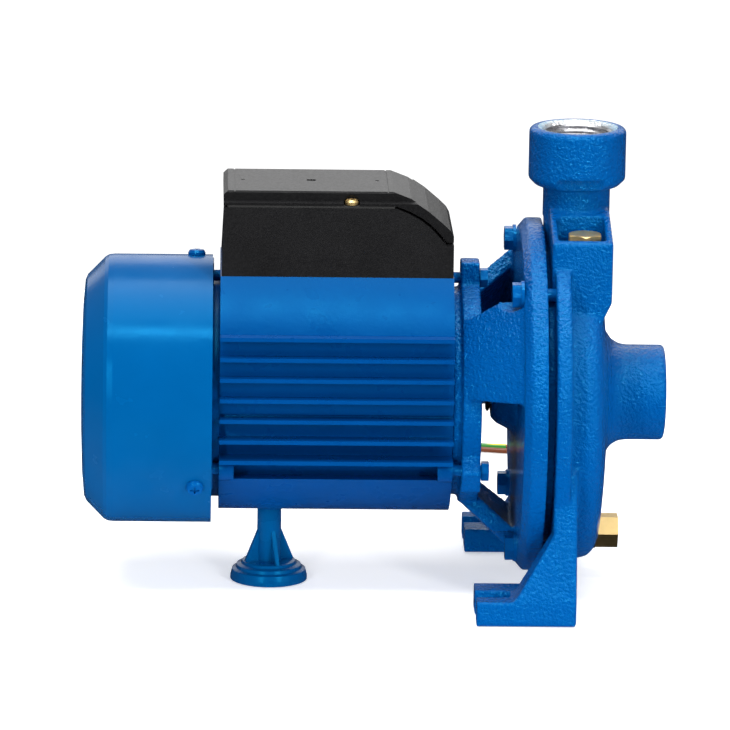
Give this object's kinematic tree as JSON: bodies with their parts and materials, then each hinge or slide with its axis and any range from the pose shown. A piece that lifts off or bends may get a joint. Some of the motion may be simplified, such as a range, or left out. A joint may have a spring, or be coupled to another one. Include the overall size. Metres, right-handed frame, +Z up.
{
  "type": "centrifugal water pump",
  "caption": "Close-coupled centrifugal water pump: finned motor with terminal box, lantern bracket, volute casing, two threaded pipe ports, feet and a coiled supply cord.",
  "frame": {"origin": "on the floor, under the middle of the pump's length and width (the loose supply cord left out)", "axes": "+X along the shaft towards the suction port, +Z up through the discharge port, +Y towards the side the supply cord leaves from"},
  "size_m": [0.262, 0.335, 0.2094],
  "materials": {
    "blue_cast_iron": "glossy enamel paint over a pebbled sand-cast surface",
    "blue_aluminium": "glossy enamel paint on a smooth extrusion",
    "blue_sheet": "glossy enamel paint on pressed sheet steel",
    "blue_hardware": "painted over together with the casting",
    "blue_plastic": "gloss blue moulded foot",
    "plug_brass": "machined brass",
    "seal_rubber": "black nitrile rubber and fibre",
    "steel": "plain machined or zinc plated steel",
    "lamination": "stacked electrical steel sheets",
    "bare_aluminium": "die cast, unpainted",
    "copper_winding": "varnished copper wire, bound",
    "seal_ceramic": "lapped ceramic",
    "seal_carbon": "lapped carbon",
    "box_plastic": "black, fine spark-eroded grain",
    "fan_plastic": "dark grey moulding",
    "block_plastic": "pale moulding",
    "capacitor_plastic": "white moulding",
    "cord_rubber": "black rubber jacket",
    "core_earth_pvc": "yellow with a green stripe",
    "core_brown_pvc": "brown insulation",
    "core_blue_pvc": "blue insulation"
  },
  "bodies": {
    "pump": {"pump_casing": "blue_cast_iron", "casing_gasket": "seal_rubber", "lantern_bracket": "blue_cast_iron", "casing_bolts": "blue_hardware", "casing_bolt_washers": "blue_hardware", "seal_seat": "seal_ceramic", "seal_seat_cup": "seal_rubber", "front_bearing_outer": "steel", "rear_bearing_outer": "steel", "wave_washer": "steel", "motor_frame": "blue_aluminium", "stator_core": "lamination", "windings": "copper_winding", "rear_end_shield": "blue_aluminium", "bracket_screws": "blue_hardware", "shield_screws": "blue_hardware", "fan_cover": "blue_sheet", "fan_cover_screws": "blue_hardware", "terminal_box": "box_plastic", "lid_gasket": "seal_rubber", "terminal_block": "block_plastic", "terminal_screws": "plug_brass", "capacitor": "capacitor_plastic", "capacitor_strap": "steel", "cable_gland": "box_plastic", "gland_nut": "box_plastic", "rear_foot": "blue_plastic", "rear_foot_screw": "steel", "earth_screw": "plug_brass", "supply_cord": "cord_rubber", "supply_cord_coil": "cord_rubber", "supply_cord_tail": "cord_rubber", "core_earth": "core_earth_pvc", "core_brown": "core_brown_pvc", "core_blue": "core_blue_pvc"},
    "rotor": {"shaft": "steel", "rotor_core": "lamination", "rotor_end_rings": "bare_aluminium", "front_bearing_inner": "steel", "rear_bearing_inner": "steel", "shaft_circlips": "steel", "impeller": "plug_brass", "impeller_nut": "steel", "impeller_washer": "steel", "impeller_key": "steel", "seal_face_ring": "seal_carbon", "seal_spring": "steel", "slinger": "seal_rubber", "cooling_fan": "fan_plastic", "fan_clip": "steel"},
    "front_balls": {"front_bearing_balls": "steel"},
    "rear_balls": {"rear_bearing_balls": "steel"},
    "filler_plug": {"filler_plug": "plug_brass", "filler_plug_washer": "seal_rubber"},
    "drain_plug": {"drain_plug": "plug_brass", "drain_plug_washer": "seal_rubber"},
    "box_lid": {"terminal_box_lid": "box_plastic", "lid_screws": "plug_brass"}
  },
  "joints": [
    {"name": "shaft_spin", "type": "hinge", "parent": "pump", "child": "rotor", "pos_m": [0, 0, 0.088], "axis": [1, 0, 0], "continuous": true},
    {"name": "front_ball_spin", "type": "hinge", "parent": "pump", "child": "front_balls", "pos_m": [0.038, 0, 0.088], "axis": [1, 0, 0], "continuous": true},
    {"name": "rear_ball_spin", "type": "hinge", "parent": "pump", "child": "rear_balls", "pos_m": [-0.0765, 0, 0.088], "axis": [1, 0, 0], "continuous": true},
    {"name": "filler_plug_lift", "type": "slide", "parent": "pump", "child": "filler_plug", "axis": [0, 0, 1], "range_m": [0, 0.014]},
    {"name": "drain_plug_pull", "type": "slide", "parent": "pump", "child": "drain_plug", "axis": [1, 0, 0], "range_m": [0, 0.014]},
    {"name": "box_lid_lift", "type": "slide", "parent": "pump", "child": "box_lid", "axis": [0, 0, 1], "range_m": [0, 0.03]}
  ],
  "couplings": [
    {"joint": "front_ball_spin", "follows": "shaft_spin", "ratio": 0.368},
    {"joint": "rear_ball_spin", "follows": "shaft_spin", "ratio": 0.368}
  ]
}
